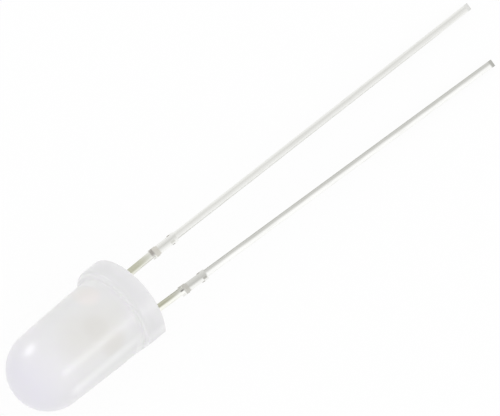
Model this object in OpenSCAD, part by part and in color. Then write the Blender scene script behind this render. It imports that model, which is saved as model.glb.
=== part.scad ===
// Through hole LED, 5 mm, milky lens, leads as delivered.
// Each piece is drawn in the LED's own axes: Z runs up the axis to the dome, the seat is at Z = 0
// and +X points to the flat, which marks the cathode. lay_down() then sets it on its side, as a
// loose one comes to rest: on the rim of its flange and the tips of its two leads.

/* [Lens] */
// Diameter of the round body at its foot
body_d = 5.0; // [4.8:0.1:5.2]
// Length of the straight stretch of the body above the flange
land_len = 1.9; // [1.2:0.1:2.6]
// Draft of the body above the straight stretch, in degrees each side
draft = 1.8; // [0.5:0.1:3]
// Height of the lens from its seat to the tip of the dome
lens_h = 8.95; // [8.2:0.05:10]
// Diameter of the flange
flange_d = 5.9; // [5.7:0.1:6.3]
// Thickness of the flange
flange_t = 1.35; // [0.9:0.05:1.7]
// How far the flat on the flange stands proud of the body
flat_proud = 0.05; // [0.02:0.01:0.15]
// Rounding of the flange's edge at the seat
seat_round = 0.15; // [0.05:0.05:0.3]
// Rounding of the flange's edge at the dome side
front_round = 0.2; // [0.05:0.05:0.3]
// Fillet in the corner between the flange and the body
neck_fillet = 0.12; // [0.04:0.02:0.2]
// Radius of the epoxy that creeps up round each lead at the seat
creep_round = 0.16; // [0.08:0.02:0.2]

/* [Leads] */
// Distance between the two leads at the seat
lead_pitch = 2.54; // [2.4:0.02:2.6]
// Width of a lead, across the strip it is cut from
lead_w = 0.45; // [0.4:0.05:0.6]
// Thickness of the strip
strip_t = 0.45; // [0.35:0.05:0.5]
// Bevel along the four long edges of a lead
lead_bevel = 0.05; // [0.02:0.01:0.1]
// Length of the anode lead, from the seat
anode_len = 29.6; // [24:0.1:34]
// Length of the cathode lead, from the seat
cathode_len = 28.5; // [20:0.1:33]
// Distance from the seat to where the anode lead starts to lean
anode_knee = 3.0; // [0:0.1:3]
// Lean of the anode lead towards the flat's side, in degrees
anode_lean = 1.25; // [-2:0.05:3]
// Distance from the seat to where the cathode lead starts to lean
cathode_knee = 0; // [0:0.1:3]
// Lean of the cathode lead towards the flat's side, in degrees
cathode_lean = 3.1; // [-1:0.05:4]
// How deep the sheared end is rolled over, on the face that the punch met
roll_over = 0.08; // [0.02:0.01:0.15]
// Length of the rolled-over edge along the lead
roll_len = 0.14; // [0.05:0.01:0.3]

/* [Dam bar stubs] */
// Distance from the seat to the stub
stub_from = 3.0; // [2.4:0.05:4]
// Length of the stub
stub_len = 1.8; // [1.2:0.05:2.4]
// How far the stub stands proud of the lead on the side towards the flat, where the punch left it
stub_proud = 0.07; // [0.04:0.01:0.2]
// How far it stands proud on the other side
stub_back = 0.02; // [0.01:0.01:0.1]
// How far the sheared nibs at the stub's ends stand proud of it
nib_proud = 0.04; // [0.02:0.01:0.12]
// Length of a sheared nib
nib_len = 0.3; // [0.1:0.02:0.4]

/* [Anvil and post] */
// Height above the seat at which the strip widens
frame_from = 2.0; // [1.4:0.1:2.4]
// Height over which the anvil and the post then step in towards each other
step_h = 0.5; // [0.3:0.05:0.8]
// Height of the anvil's outer shoulder
shoulder_h = 3.3; // [2.8:0.1:3.6]
// Width of the anvil's neck under the cup
neck_w = 1.0; // [0.7:0.05:1.1]
// Height at which the anvil has narrowed to its neck
neck_from = 4.1; // [3.8:0.05:4.3]
// Gap between the anvil and the post
frame_gap = 0.35; // [0.25:0.05:0.45]
// How far the post's top, where the wire is stitched, lies below the cup's rim
post_drop = 0.15; // [0:0.05:0.5]
// Height of the sloping shoulder at the post's top
slope_h = 0.4; // [0.2:0.05:0.6]
// Width of the sloping shoulder
slope_w = 0.24; // [0.1:0.02:0.4]

/* [Reflector cup] */
// Height of the cup's rim above the seat
cup_h = 5.1; // [4.9:0.05:5.5]
// Height of the coined head that holds the cup
head_h = 0.75; // [0.6:0.05:0.8]
// Diameter of the head at its foot
foot_d = 0.72; // [0.6:0.02:0.9]
// Height over which the head flares from its foot
flare_h = 0.34; // [0.2:0.02:0.5]
// Diameter of the cup's mouth
mouth_d = 0.95; // [0.8:0.05:1.1]
// Diameter of the cup's floor
floor_d = 0.56; // [0.5:0.02:0.7]
// Depth of the cup
cup_depth = 0.38; // [0.3:0.02:0.5]
// Width of the cup's rim
rim_w = 0.12; // [0.06:0.02:0.2]
// Thickness of the coined metal between the cup's floor and the end of the strip
web_t = 0.15; // [0.1:0.05:0.25]

/* [Chip and wire] */
// Side of the square chip
chip_w = 0.3; // [0.2:0.02:0.34]
// Thickness of the chip
chip_t = 0.15; // [0.1:0.01:0.2]
// Thickness of the adhesive under the chip
glue_t = 0.03; // [0.01:0.01:0.05]
// Margin of the adhesive round the chip's corners
glue_margin = 0.03; // [0.01:0.01:0.04]
// Least bare margin of the cup's floor round the adhesive
bare_margin = 0.01; // [0.01:0.01:0.05]
// Diameter of the bond wire
wire_d = 0.03; // [0.02:0.005:0.05]
// Diameter of the ball bond on the chip and of the stitch on the post
bond_d = 0.09; // [0.07:0.01:0.12]
// Height of the ball bond
ball_h = 0.036; // [0.02:0.002:0.06]
// Height of the wire's straight rise above the cup's rim, or above the post if that is higher
wire_rise = 0.2; // [0.1:0.05:0.4]
// Radius of the wire's loop
loop_r = 0.25; // [0.15:0.05:0.3]

/* [Hidden] */
$fn = 64;
overlap = 0.5;                      // how deep a bar runs into its frame, or a cutter past its cut
knee_lap = 0.1;                     // how far the straight bar runs on past a lead's knee
round_share = 0.48;                 // the most of the flange's ledge that a rounding may take

// The lens
body_r = body_d / 2;
flange_r = flange_d / 2;
flat_x = body_r + flat_proud;
ledge = flange_r - body_r;
front_r = min(front_round, ledge * round_share);
neck_r = min(neck_fillet, ledge * round_share);
land_top = flange_t + land_len;
// the dome is tangent to the drafted body, so its radius follows from the draft
dome_r = (body_r - (lens_h - land_top) * tan(draft)) * cos(draft) / (1 - sin(draft));
dome_z = lens_h - dome_r;
joint_r = dome_r * cos(draft);
joint_z = dome_z + dome_r * sin(draft);

// The lead frame
lead_x = lead_pitch / 2;
half_w = lead_w / 2;
outer_x = lead_x + half_w;
inner_x = lead_x - half_w;
corner_r = sqrt(lead_w * lead_w + strip_t * strip_t) / 2;
stub_out = half_w + stub_proud;
stub_w = stub_out + half_w + stub_back;
head_base = cup_h - head_h;
head_r = mouth_d / 2 + rim_w;
floor_z = cup_h - cup_depth;
neck_top = floor_z - web_t;
post_h = cup_h - post_drop;
post_inner = neck_w / 2 + frame_gap;
post_x = (post_inner + outer_x - slope_w) / 2;

// The chip and its wire
chip_z = floor_z + glue_t;
chip_top = chip_z + chip_t;
glue_r = min(chip_w / sqrt(2) + glue_margin, floor_d / 2 - bare_margin);
wire_r = wire_d / 2;
joint_swell = 1.05;                 // the wire is this much thicker where its loop runs out
loop_z = max(cup_h, post_h) + wire_rise;
stitch_z = post_h + wire_r;
run_x = loop_r - post_x;            // from the loop's centre to the stitch
run_z = stitch_z - loop_z;
run = sqrt(run_x * run_x + run_z * run_z);
loop_turn = 360 + atan2(run_z, run_x) - acos(loop_r / run);
wire_run = sqrt(run * run - loop_r * loop_r);

// How it lies: the flange's rim and the lower edges of both lead tips touch the ground
function tip_x(x, knee, lean, len) = x + (len - knee) * sin(lean);
function tip_z(knee, lean, len) = -knee - (len - knee) * cos(lean);
anode_tip_x = tip_x(-lead_x, anode_knee, anode_lean, anode_len);
cathode_tip_x = tip_x(lead_x, cathode_knee, cathode_lean, cathode_len);
anode_tip_z = tip_z(anode_knee, anode_lean, anode_len);
cathode_tip_z = tip_z(cathode_knee, cathode_lean, cathode_len);
roll_per_tilt = (anode_tip_z - cathode_tip_z) / (cathode_tip_x - anode_tip_x);
tilt = atan((flange_r - strip_t / 2) / (seat_round - cathode_tip_z - roll_per_tilt * cathode_tip_x));
roll = asin(roll_per_tilt * tan(tilt));
lift = (flange_r - seat_round) * cos(tilt) - seat_round * sin(tilt) + seat_round;

// Where its box lies, so that the origin is under the middle of it
front_end = dome_z * cos(tilt) + dome_r;
rear_end = anode_tip_z * cos(tilt) - strip_t / 2 * sin(tilt);
flat_side = max(flat_x * cos(roll) - sin(roll) * sqrt(flange_r * flange_r - flat_x * flat_x),
                cathode_tip_x + half_w);

module lay_down() {
    translate([-(front_end + rear_end) / 2, -(flat_side - flange_r) / 2, lift])
        rotate([0, -tilt, 0]) rotate([90, 0, 90]) rotate([0, 0, roll]) children();
}

// A flat piece of the strip, drawn in the X-Z plane
module strip(outline) {
    rotate([90, 0, 0]) linear_extrude(strip_t, center = true) polygon(outline);
}

module square_bar(len) {
    w = half_w;
    t = strip_t / 2;
    b = lead_bevel;
    linear_extrude(len)
        polygon([[w, t - b], [w - b, t], [b - w, t], [-w, t - b],
                 [-w, b - t], [b - w, -t], [w - b, -t], [w, b - t]]);
}

// A lead below the frame: straight down to its knee, then leaning
module lead_bar(x, knee, lean, len) {
    translate([x, 0, -knee]) {
        translate([0, 0, -knee_lap]) square_bar(knee_lap + knee + frame_from + overlap);
        rotate([0, 180 - lean, 0]) {
            translate([0, 0, stub_from - knee]) dam_bar_stub();
            difference() {
                square_bar(len - knee);
                sheared_edge(len - knee);
            }
        }
    }
}

// What the punch rolls over at the end of a lead
module sheared_edge(len) {
    t = strip_t / 2;
    translate([-lead_w, 0, 0]) rotate([90, 0, 90]) linear_extrude(2 * lead_w)
        polygon([[t + roll_over, len - 2 * roll_len], [t - 2 * roll_over, len + roll_len],
                 [t + roll_over, len + roll_len]]);
}

// Drawn upside down like the bar it stands on, so the flat's side is at -X here
module dam_bar_stub() {
    translate([-stub_out, -strip_t / 2, 0]) cube([stub_w, strip_t, stub_len]);
    for (from = [0, stub_len - nib_len])
        translate([-stub_out - nib_proud, -strip_t / 2, from])
            cube([stub_w + 2 * nib_proud, strip_t, nib_len]);
}

module reflector_cup() {
    rotate_extrude()
        polygon([[0, 0], [foot_d / 2, 0], [head_r, flare_h], [head_r, head_h], [mouth_d / 2, head_h],
                 [floor_d / 2, head_h - cup_depth], [0, head_h - cup_depth]]);
}

module cathode_metal() {
    lead_bar(lead_x, cathode_knee, cathode_lean, cathode_len);
    strip([[outer_x, frame_from], [outer_x, shoulder_h], [neck_w / 2, neck_from],
           [neck_w / 2, neck_top], [-neck_w / 2, neck_top], [-neck_w / 2, frame_from + step_h],
           [step_h - neck_w / 2, frame_from]]);
    translate([0, 0, head_base]) reflector_cup();
}

module anode_metal() {
    lead_bar(-lead_x, anode_knee, anode_lean, anode_len);
    strip([[-outer_x, frame_from], [-inner_x, frame_from], [-post_inner, frame_from + step_h],
           [-post_inner, post_h], [slope_w - outer_x, post_h], [-outer_x, post_h - slope_h]]);
}

module chip_body() {
    translate([-chip_w / 2, -chip_w / 2, chip_z]) cube([chip_w, chip_w, chip_t]);
}

module glue_drop() {
    translate([0, 0, floor_z]) cylinder(r = glue_r, h = glue_t);
}

// Ball bond, straight rise, loop, run down to the post and stitch
module wire_body() {
    translate([0, 0, chip_top]) cylinder(d = bond_d, h = ball_h);
    translate([0, 0, chip_top]) cylinder(r = wire_r, h = loop_z - chip_top);
    translate([-loop_r, 0, loop_z]) {
        rotate([90, 0, 0]) rotate_extrude(angle = loop_turn) translate([loop_r, 0]) circle(r = wire_r);
        rotate([0, -loop_turn, 0]) translate([loop_r, 0, 0]) {
            cylinder(r = wire_r, h = wire_run);
            sphere(r = wire_r * joint_swell);
        }
    }
    translate([-post_x, 0, post_h]) cylinder(d = bond_d, h = wire_r);
}

// The lens's outline on one side of its axis
module lens_profile() {
    intersection() {
        translate([0, dome_z]) circle(r = dome_r);
        translate([0, joint_z]) square([body_d, lens_h]);
    }
    polygon([[0, 0], [body_r, 0], [body_r, land_top], [joint_r, joint_z], [0, joint_z]]);
    difference() {
        translate([0, seat_round]) square([flange_r, flange_t - seat_round]);
        translate([flange_r - front_r, flange_t - front_r]) square(ledge);
    }
    square([flange_r - seat_round, flange_t]);
    translate([flange_r - seat_round, seat_round]) circle(r = seat_round);
    translate([flange_r - front_r, flange_t - front_r]) circle(r = front_r);
    translate([body_r, flange_t]) difference() {
        square(neck_r);
        translate([neck_r, neck_r]) circle(r = neck_r);
    }
}

// The epoxy is poured in round the lead frame, and creeps up each lead where it leaves the seat
module creep(x) {
    translate([x, 0, -creep_round]) rotate_extrude() difference() {
        square([corner_r + creep_round, creep_round + seat_round]);
        translate([corner_r + creep_round, 0]) circle(r = creep_round);
    }
}

module moulding() {
    difference() {
        rotate_extrude() lens_profile();
        translate([flat_x, -flange_d, -overlap])
            cube([flange_d, 2 * flange_d, overlap + flange_t + neck_r]);
    }
    creep(lead_x);
    creep(-lead_x);
}

module lens() {
    color([0.89, 0.89, 0.91]) lay_down() difference() {
        moulding();
        cathode_metal();
        anode_metal();
        chip_body();
        glue_drop();
        wire_body();
    }
}

module cathode_lead() { color([0.80, 0.80, 0.76]) lay_down() cathode_metal(); }

module anode_lead() { color([0.80, 0.80, 0.76]) lay_down() anode_metal(); }

module led_chip() { color([0.55, 0.57, 0.62]) lay_down() chip_body(); }

module chip_adhesive() { color([0.70, 0.70, 0.72]) lay_down() glue_drop(); }

module bond_wire() { color([0.90, 0.70, 0.30]) lay_down() wire_body(); }

lens();
cathode_lead();
anode_lead();
led_chip();
chip_adhesive();
bond_wire();
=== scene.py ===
from math import cos, radians, sin

import bpy
from mathutils import Matrix, Vector

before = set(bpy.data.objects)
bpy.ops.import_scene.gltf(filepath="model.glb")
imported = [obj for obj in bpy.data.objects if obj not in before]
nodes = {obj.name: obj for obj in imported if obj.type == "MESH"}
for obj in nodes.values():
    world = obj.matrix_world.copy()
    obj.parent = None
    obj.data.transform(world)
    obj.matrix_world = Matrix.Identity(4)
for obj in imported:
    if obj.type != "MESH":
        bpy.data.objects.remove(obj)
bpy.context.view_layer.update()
print("frame loaded:", ", ".join(sorted(nodes)))

# How the LED lies, in metres and degrees
led = {
    "seat": (0.0102834, -0.0000431, 0.0029244),  # the middle of the seat, where the leads leave the flange
    "tilt": 5.27404,  # the dome's end is lifted, because the rim of the flange and the leads' tips carry it
    "roll": 1.71549,  # and it is turned about its own axis
    "mmPerMetre": 1000.0,
}


def turned(first, second, angle):
    # two directions at right angles, turned in their own plane from the first to the second
    side, ahead = sin(radians(angle)), cos(radians(angle))
    return first * ahead + second * side, second * ahead - first * side


def ownAxes():
    # across runs to the cathode and the flat, towards goes up, to the side that the camera sees, and along
    # runs to the top of the dome
    along, lifted = turned(Vector((1.0, 0.0, 0.0)), Vector((0.0, 0.0, 1.0)), led["tilt"])
    towards, across = turned(lifted, Vector((0.0, 1.0, 0.0)), led["roll"])
    return {"across": across, "towards": towards, "along": along}


ledAxes = ownAxes()


class Shade:
    # wraps one socket, so that shader maths reads as plain expressions
    def __init__(self, tree, socket=None):
        self.tree = tree
        self.socket = socket

    def node(self, kind, settings=None, values=None, output=0):
        made = self.tree.nodes.new(kind)
        for name, value in (settings or {}).items():
            if name == "stops":
                self.setStops(made.color_ramp, value)
            else:
                setattr(made, name, value)
        for name, value in (values or {}).items():
            if isinstance(value, Shade):
                self.tree.links.new(value.socket, made.inputs[name])
            else:
                made.inputs[name].default_value = value
        return Shade(self.tree, made.outputs[output])

    def setStops(self, ramp, stops):
        while len(ramp.elements) < len(stops):
            ramp.elements.new(0.5)
        for element, (place, colour) in zip(ramp.elements, stops):
            element.position = place
            element.color = (*colour, 1.0)

    def maths(self, operation, *values):
        return self.node("ShaderNodeMath", {"operation": operation}, dict(enumerate(values)))

    def __add__(self, other):
        return self.maths("ADD", self, other)

    def __radd__(self, other):
        return self.maths("ADD", other, self)

    def __sub__(self, other):
        return self.maths("SUBTRACT", self, other)

    def __rsub__(self, other):
        return self.maths("SUBTRACT", other, self)

    def __mul__(self, other):
        return self.maths("MULTIPLY", self, other)

    def __rmul__(self, other):
        return self.maths("MULTIPLY", other, self)

    def __truediv__(self, other):
        return self.maths("DIVIDE", self, other)


def ramp(value, low, high):
    # 0 below low, easing to 1 at high
    return value.node("ShaderNodeMapRange", {"interpolation_type": "SMOOTHSTEP"},
                      {"Value": value, "From Min": low, "From Max": high})


def band(value, low, high, soft):
    # 1 between low and high, with each end eased over soft on both of its sides
    return ramp(value, low - soft, low + soft) * (1.0 - ramp(value, high - soft, high + soft))


def graded(value, stops):
    return value.node("ShaderNodeValToRGB", {"stops": stops}, {0: value})


# Places of a Mix node's colour sockets, because it has several of each name
mixPlaces = {"colour": 6, "other": 7, "result": 2}


def tint(mask, colour, other):
    # colour where the mask is 0, other where it is 1
    values = {"Factor": mask}
    for part, tone in (("colour", colour), ("other", other)):
        values[mixPlaces[part]] = tone if isinstance(tone, Shade) else (*tone, 1.0)
    return mask.node("ShaderNodeMix", {"data_type": "RGBA"}, values, mixPlaces["result"])


def sway(noise, spread):
    # noise from half of spread below 0 to half of it above
    return spread * (noise - 0.5)


def shine(noise, level, spread):
    rough = level + sway(noise, spread)
    return rough.node("ShaderNodeClamp", None, {"Value": rough})


def newMaterial(name, plain):
    # a Principled material with its plain values set, and the start of its shader maths
    material = bpy.data.materials.new(name)
    material.use_nodes = True
    surface = material.node_tree.nodes["Principled BSDF"]
    for socket, value in plain.items():
        surface.inputs[socket].default_value = value
    return material, surface, Shade(material.node_tree)


def feed(surface, socket, shade):
    shade.tree.links.new(shade.socket, surface.inputs[socket])


def ledPlace(start):
    # across, towards and along in millimetres from the middle of the seat, then all three as one vector
    place = start.node("ShaderNodeTexCoord", output="Object")
    offset = start.node("ShaderNodeVectorMath", {"operation": "SUBTRACT"}, {0: place, 1: led["seat"]})
    scaled = start.node("ShaderNodeVectorMath", {"operation": "SCALE"},
                        {0: offset, "Scale": led["mmPerMetre"]})
    parts = [start.node("ShaderNodeVectorMath", {"operation": "DOT_PRODUCT"},
                        {0: scaled, 1: axis}, "Value")
             for axis in ledAxes.values()]
    return (*parts, start.node("ShaderNodeCombineXYZ", None, dict(enumerate(parts))))


def noiseOf(vector, scale, detail, stretch=None):
    if stretch:
        vector = vector.node("ShaderNodeVectorMath", {"operation": "MULTIPLY"}, {0: vector, 1: stretch})
    return vector.node("ShaderNodeTexNoise", None, {"Vector": vector, "Scale": scale, "Detail": detail})


def bumpOf(height, strength, distance):
    return height.node("ShaderNodeBump", None,
                       {"Height": height, "Strength": strength, "Distance": distance})


def dress(name, material):
    for slot in nodes[name].material_slots:
        slot.material = material


# Milky epoxy of the lens, in millimetres
epoxy = {
    "plain": {"IOR": 1.52, "Subsurface Weight": 1.0, "Subsurface Radius": (1.0, 0.95, 1.05),
              "Subsurface Scale": 0.0022},
    "height": 8.95,
    "wall": (2.52, 2.62),  # past these radii it is the flange, not the wall of the body
    "ledge": (1.20, 1.35),  # and so it is below these places along
    # tones from the seat to the ledge, and from the ledge to the top of the dome: place along and colour.
    # Besides the epoxy's own tint, violet towards the dome, they hold painted shade and light: the flange is
    # darkened, and the ledge and the foot of the body are lightened against the shade in the corner
    "flange": [(0.0, (0.665, 0.665, 0.67)), (0.3, (0.70, 0.70, 0.705)), (0.6, (0.72, 0.72, 0.725)),
               (1.1, (0.72, 0.72, 0.725)), (1.2, (0.69, 0.69, 0.695)), (1.31, (0.695, 0.694, 0.70)),
               (1.345, (0.815, 0.813, 0.815))],
    "body": [(1.36, (0.83, 0.828, 0.83)), (1.8, (0.80, 0.798, 0.80)), (4.8, (0.80, 0.798, 0.80)),
             (7.0, (0.782, 0.778, 0.790)), (8.5, (0.762, 0.754, 0.797))],
    # painted light: the corner over the ledge is lighter on the sides, against the shade that falls there
    "corner": {"along": (1.34, 1.95, 0.1), "towards": (0.8, 2.2), "tone": (0.885, 0.883, 0.885)},
    # painted shade of the lead frame inside, which shows through as dim, warm clouds: across, along, half
    # sizes, colour, strength
    "clouds": [(-0.20, 4.15, 1.5, 2.3, (0.764, 0.758, 0.738), 0.9),
               (-0.17, 3.80, 0.75, 0.75, (0.732, 0.722, 0.697), 0.7),
               (1.20, 3.35, 0.55, 0.9, (0.742, 0.732, 0.707), 0.9),
               (-1.84, 2.62, 0.65, 0.72, (0.84, 0.802, 0.78), 0.8)],
    "cloudEdge": 1.6,
    "cloudSway": 0.5,
    # painted light: lighter lines along the side that the ground lights: across, half width, along from and
    # to, colour
    "gleams": [(1.86, 0.16, 1.6, 6.9, (0.89, 0.89, 0.895)), (2.3, 0.16, 0.0, 1.3, (0.79, 0.79, 0.795))],
    "gleamEnds": 0.4,
    "gleamTowards": (0.0, 0.6),
    "haze": (0.55, 2.0),  # scale and detail of the noise, also in the next two
    "fine": (9.0, 3.0),
    "ripple": (1.6, 2.0),
    "fineShare": 0.15,
    "bump": (0.08, 0.00004),  # strength, and height in metres
    "roughness": (0.3, 0.05),  # level and spread
    "seat": (-0.02, 0.06),  # the seat's own face ends here
    "seatRoughness": 0.16,  # how much rougher the seat is
}


def overHeight(along, tones):
    return graded(along / epoxy["height"], [(place / epoxy["height"], colour) for place, colour in tones])


def epoxyMaterial():
    material, surface, start = newMaterial("milkyEpoxy", epoxy["plain"])
    across, towards, along, place = ledPlace(start)
    # the wall of the body, as against the flange below it
    square = across * across + towards * towards
    wall = 1.0 - ramp(square.maths("SQRT", square), *epoxy["wall"])
    wall = wall * ramp(along, *epoxy["ledge"])
    # the tones over the height carry painted shade on the flange and painted light on the ledge and by the
    # corner
    colour = tint(wall, overHeight(along, epoxy["flange"]), overHeight(along, epoxy["body"]))
    # painted light in the corner over the ledge, on the sides
    corner = epoxy["corner"]
    side = 1.0 - ramp(towards, *corner["towards"])
    colour = tint(wall * band(along, *corner["along"]) * side, colour, corner["tone"])
    haze = noiseOf(place, *epoxy["haze"])
    # painted shade: the lead frame inside, seen through the epoxy
    for x, z, wide, tall, tone, strength in epoxy["clouds"]:
        dx = (across - x) / wide
        dz = (along - z) / tall
        cloud = 1.0 - ramp(dx * dx + dz * dz + sway(haze, epoxy["cloudSway"]), 0.0, epoxy["cloudEdge"])
        colour = tint(cloud * strength, colour, tone)
    # painted light along the side that the ground lights
    for x, wide, low, high, tone in epoxy["gleams"]:
        line = band(across, x - wide, x + wide, wide) * band(along, low, high, epoxy["gleamEnds"])
        colour = tint(line * ramp(towards, *epoxy["gleamTowards"]), colour, tone)
    feed(surface, "Base Color", colour)
    fine = noiseOf(place, *epoxy["fine"])
    seat = 1.0 - ramp(along, *epoxy["seat"])
    feed(surface, "Roughness", shine(fine, *epoxy["roughness"]) + seat * epoxy["seatRoughness"])
    ripple = noiseOf(place, *epoxy["ripple"])
    feed(surface, "Normal", bumpOf(ripple + epoxy["fineShare"] * fine, *epoxy["bump"]))
    return material


dress("lens", epoxyMaterial())
print("lens dressed")

# Tinned steel of the leads, in millimetres. Down starts where the stub does and runs to the lead's tip, and
# aside runs across the lead. Three numbers for a place are from, to and how softly it ends
tin = {
    "plain": {"Metallic": 1.0},
    "width": 0.45,
    "face": (0.10, 0.17),  # the sides give way to the upper face over this stretch towards the camera
    "sides": (0.66, 0.66, 0.62),
    "sheared": (0.52, 0.50, 0.46),
    "grainNoise": (14.0, 4.0, (1.0, 1.0, 0.05)),  # scale, detail and stretch, also in the next
    "blotchNoise": (1.1, 3.0, (1.0, 1.0, 0.5)),
    "grain": {"noise": (0.52, 0.75), "strength": 0.3, "tone": (0.52, 0.52, 0.47)},
    "stripeSway": 0.1,
    "fade": (-1.5, 0.5),  # the dimmer painted reflections by the lens give way to the bright ones over this stretch down
    "fadeSway": 0.5,
    "hold": {"brightSheen": 0.08, "dimSheen": 0.30, "stub": 0.08},
    "holdBelow": 1.2,
    "tip": (-0.36, -0.22),  # measured from the lead's end, as the cut is
    "cut": (-0.02, -0.004),
    "bump": (0.2, 0.00001),  # strength, and height in metres
    "roughness": (0.27, 0.2),  # level and spread
    "shearedRoughness": 0.2,  # how much rougher the sheared faces are
}

# The stub that the punch left on each lead, with its sheared shoulders
stub = {
    "from": 3.0,  # below the seat
    "down": (0.0, 1.8, 0.02),
    "shoulders": (-0.24, 0.28, 0.005),
    "roll": (0.21, 0.222),  # the sheared faces end here, towards the camera
    "face": (0.2, 1.8, 0.05),
    "block": (0.05, 0.42, 0.05),  # beige, over the lead's whole width
    "blockStrength": 0.8,
    "stepShade": (-0.18, 0.06, 0.06),  # painted shade: a dark corner, just where the stub starts
    "nib": (0.08, 0.23, 0.05),  # aside, a small shade where the stub ends
    "lit": {"down": (-0.05, 0.02, 0.01), "tone": (0.88, 0.88, 0.85)},  # painted light on the face that looks to the lens
}

# Each lead's middle line, which leans past its knee, and its tones. Three sets of painted reflections run
# across its upper face: bright away from the lens, dimmer by the lens, and one on the stub; each gives the
# grey at the upper edge, along the dimmest line and on the lit side: place across the lead and grey
leads = {
    "anode_lead": {
        "middle": -1.27, "knee": 3.0, "lean": 0.0218, "end": 26.59,
        "tip": (0.73, 0.73, 0.71),
        "block": (0.59, 0.57, 0.515),
        "stepShade": {"aside": (-0.40, 0.12, 0.14), "tone": (0.385, 0.365, 0.34)},
        "nib": {"down": (1.28, 1.58, 0.04), "tone": (0.66, 0.66, 0.62)},
        "brightSheen": [(0.0, 0.90), (0.35, 0.68), (1.0, 0.92)],
        "dimSheen": [(0.0, 0.53), (0.6, 0.50), (0.95, 0.95)],
        "stub": [(0.0, 0.84), (0.45, 0.61), (1.0, 0.90)],
    },
    "cathode_lead": {
        "middle": 1.27, "knee": 0.0, "lean": 0.0542, "end": 25.46,
        "tip": (0.46, 0.46, 0.43),
        "block": (0.51, 0.50, 0.46),
        "stepShade": {"aside": (-0.05, 0.035, 0.04), "tone": (0.22, 0.21, 0.195)},
        "nib": {"down": (1.46, 1.74, 0.04), "tone": (0.45, 0.445, 0.415)},
        "brightSheen": [(0.0, 0.62), (0.3, 0.57), (0.62, 0.96)],
        "dimSheen": [(0.0, 0.60), (0.43, 0.39), (0.7, 0.93)],
        "stub": [(0.0, 0.67), (0.58, 0.53), (0.88, 0.90)],
    },
}


def overWidth(stripe, lead, part):
    # painted reflections across the lead; blue is held back where the tin is dim, for its warm tone
    def warm(grey):
        return grey, grey, grey * (1.0 - tin["hold"][part] * (tin["holdBelow"] - grey))
    return graded(stripe, [(place, warm(grey)) for place, grey in lead[part]])


def tinMaterial(name):
    lead = leads[name]
    material, surface, start = newMaterial("tinnedSteel_" + name, tin["plain"])
    across, towards, along, place = ledPlace(start)
    grain = noiseOf(place, *tin["grainNoise"])
    blotch = noiseOf(place, *tin["blotchNoise"])
    below = -1.0 * along
    down = below - stub["from"]
    fromEnd = down - lead["end"]
    bent = below - lead["knee"]
    aside = across - lead["middle"] - bent.maths("MAXIMUM", bent, 0.0) * lead["lean"]
    stripe = aside / tin["width"] + 0.5 + sway(blotch, tin["stripeSway"])
    # the upper face: painted reflections, dimmer by the lens, then bright, with a set of their own on the
    # stub
    fade = ramp(down + sway(blotch, tin["fadeSway"]), *tin["fade"])
    front = tint(fade, overWidth(stripe, lead, "dimSheen"), overWidth(stripe, lead, "brightSheen"))
    front = tint(band(down, *stub["face"]), front, overWidth(stripe, lead, "stub"))
    # on the upper face: the tin's grain, a beige band where the stub starts, painted shade where the stub
    # starts and where it ends, and the tone of the tip
    marksAndShade = (
        (ramp(grain, *tin["grain"]["noise"]) * tin["grain"]["strength"], tin["grain"]["tone"]),
        (band(down, *stub["block"]) * stub["blockStrength"], lead["block"]),
        (band(down, *stub["stepShade"]) * band(aside, *lead["stepShade"]["aside"]), lead["stepShade"]["tone"]),
        (band(down, *lead["nib"]["down"]) * band(aside, *stub["nib"]), lead["nib"]["tone"]),
        (ramp(fromEnd, *tin["tip"]), lead["tip"]),
    )
    for mask, tone in marksAndShade:
        front = tint(mask, front, tone)
    # painted light on the stub's first face, which looks to the lens
    sides = tint(band(down, *stub["lit"]["down"]), tin["sides"], stub["lit"]["tone"])
    colour = tint(ramp(towards, *tin["face"]), sides, front)
    # the sheared faces: the stub's shoulders and the lead's end
    sheared = (1.0 - band(aside, *stub["shoulders"])) * band(down, *stub["down"])
    sheared = sheared * (1.0 - ramp(towards, *stub["roll"]))
    for mask in (sheared, ramp(fromEnd, *tin["cut"])):
        colour = tint(mask, colour, tin["sheared"])
    feed(surface, "Base Color", colour)
    feed(surface, "Roughness", shine(blotch, *tin["roughness"]) + sheared * tin["shearedRoughness"])
    feed(surface, "Normal", bumpOf(grain, *tin["bump"]))
    return material


for name in leads:
    dress(name, tinMaterial(name))
print("leads dressed")

# The chip, its adhesive and the wire, which only a section or a clear lens would show
inside = {
    "led_chip": {"plain": {"Roughness": 0.2, "IOR": 2.4},
                 "tones": ((0.26, 0.28, 0.34), (0.4, 0.42, 0.5))},
    "chip_adhesive": {"plain": {"Roughness": 0.5, "Metallic": 0.4},
                      "tones": ((0.42, 0.42, 0.44), (0.62, 0.62, 0.64))},
    "bond_wire": {"plain": {"Roughness": 0.22, "Metallic": 1.0},
                  "tones": ((0.78, 0.52, 0.16), (0.9, 0.66, 0.25))},
}
speckles = {"noise": (30.0, 3.0), "bump": (0.15, 0.000002)}


def insideMaterial(name):
    material, surface, start = newMaterial("inside_" + name, inside[name]["plain"])
    speckle = noiseOf(ledPlace(start)[-1], *speckles["noise"])
    feed(surface, "Base Color", tint(speckle, *inside[name]["tones"]))
    feed(surface, "Normal", bumpOf(speckle, *speckles["bump"]))
    return material


for name in inside:
    dress(name, insideMaterial(name))
print("chip, adhesive and wire dressed")

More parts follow.
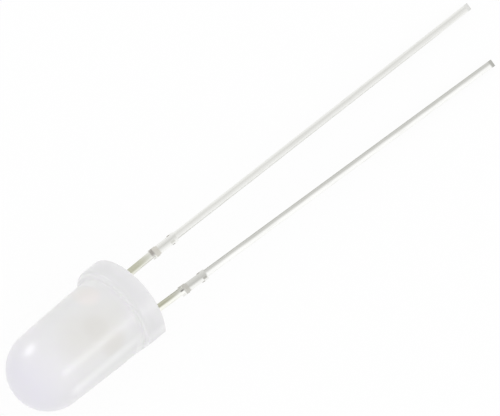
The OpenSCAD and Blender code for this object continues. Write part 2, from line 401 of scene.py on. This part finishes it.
# Floor, world and lamps
studio = {
    "floorSize": 1.6,
    "floor": {"Base Color": (0.95, 0.95, 0.95, 1.0), "Roughness": 0.9},
    "white": (1.0, 1.0, 1.0, 1.0),
    "floorGlow": 0.93,  # how much of the floor is plain white to the camera; the rest takes the shadow
    "ambient": 0.93,
    "middle": (0.008, 0.0, 0.003),
    # direction from the middle, distance, size along the LED and across it, watts, and whether it lights
    # matt surfaces too or gives a highlight only
    "lamps": {
        "keyLamp": ((0.20, 0.02, 0.97), 0.70, 0.90, 0.90, 0.46, True),
        "streakLamp": ((-0.2960, 0.5805, 0.7588), 0.50, 0.21, 0.12, 0.35, False),
        "sideLamp": ((0.1708, -0.9782, 0.1135), 0.50, 0.25, 0.24, 1.05, False),
    },
}


def seenWhite(start):
    # 1 for what the camera sees, straight or in a mirror or through glass
    rays = start.node("ShaderNodeLightPath", output="Is Camera Ray")
    for name in ("Is Glossy Ray", "Is Transmission Ray"):
        rays = rays.maths("MAXIMUM", rays, start.node("ShaderNodeLightPath", output=name))
    return rays


def makeFloor():
    bpy.ops.object.select_all(action="DESELECT")
    bpy.ops.mesh.primitive_plane_add(size=studio["floorSize"], location=(0, 0, 0))
    floor = bpy.context.object
    floor.name = "studioFloor"
    material, surface, start = newMaterial("paleFloor", studio["floor"])
    lit = Shade(start.tree, surface.outputs[0])
    glow = start.node("ShaderNodeEmission", None, {"Color": studio["white"], "Strength": 1.0})
    share = seenWhite(start) * studio["floorGlow"]
    mixed = start.node("ShaderNodeMixShader", None, {0: share, 1: lit, 2: glow})
    feed(start.tree.nodes["Material Output"], "Surface", mixed)
    floor.data.materials.append(material)


def makeWorld():
    world = bpy.data.worlds.new("studioWorld")
    world.use_nodes = True
    bpy.context.scene.world = world
    back = world.node_tree.nodes["Background"]
    back.inputs["Color"].default_value = studio["white"]
    rays = seenWhite(Shade(world.node_tree))
    feed(back, "Strength", studio["ambient"] + rays * (1.0 - studio["ambient"]))


def makeLamps():
    middle = Vector(studio["middle"])
    for name, (direction, distance, wide, tall, watts, matt) in studio["lamps"].items():
        away = Vector(direction).normalized()
        side = ledAxes["along"]
        side = (side - away * side.dot(away)).normalized()
        bpy.ops.object.light_add(type="AREA")
        lamp = bpy.context.object
        lamp.name = name
        lamp.data.shape = "RECTANGLE"
        lamp.data.size = wide
        lamp.data.size_y = tall
        lamp.data.energy = watts
        lamp.visible_diffuse = matt
        turn = Matrix((side, away.cross(side), away)).transposed()
        lamp.matrix_world = Matrix.Translation(middle + away * distance) @ turn.to_4x4()


# The camera at the photo's angle, in metres and degrees, with its lens and sensor in millimetres
view = {
    "aim": (0.0008701, 0.0002184, 0.0027783),
    "distance": 0.278,
    "azimuth": -0.65394,
    "elevation": 68.1335,
    "roll": 51.126,
    "lens": 347.4856,
    "sensor": 36.0,
    "near": 0.001,
    "far": 10.0,
}


def makeCamera():
    bpy.ops.object.camera_add()
    camera = bpy.context.object
    camera.name = "photoCamera"
    level, side = turned(Vector((1.0, 0.0, 0.0)), Vector((0.0, 1.0, 0.0)), view["azimuth"])
    back, top = turned(level, Vector((0.0, 0.0, 1.0)), view["elevation"])
    right, up = turned(side, top, view["roll"])
    turn = Matrix((right, up, back)).transposed()
    place = Vector(view["aim"]) + back * view["distance"]
    camera.matrix_world = Matrix.Translation(place) @ turn.to_4x4()
    camera.data.lens = view["lens"]
    camera.data.sensor_width = view["sensor"]
    camera.data.clip_start = view["near"]
    camera.data.clip_end = view["far"]
    bpy.context.scene.camera = camera


makeFloor()
makeWorld()
makeLamps()
makeCamera()
bpy.context.scene.view_settings.view_transform = "Standard"
print("studio ready")
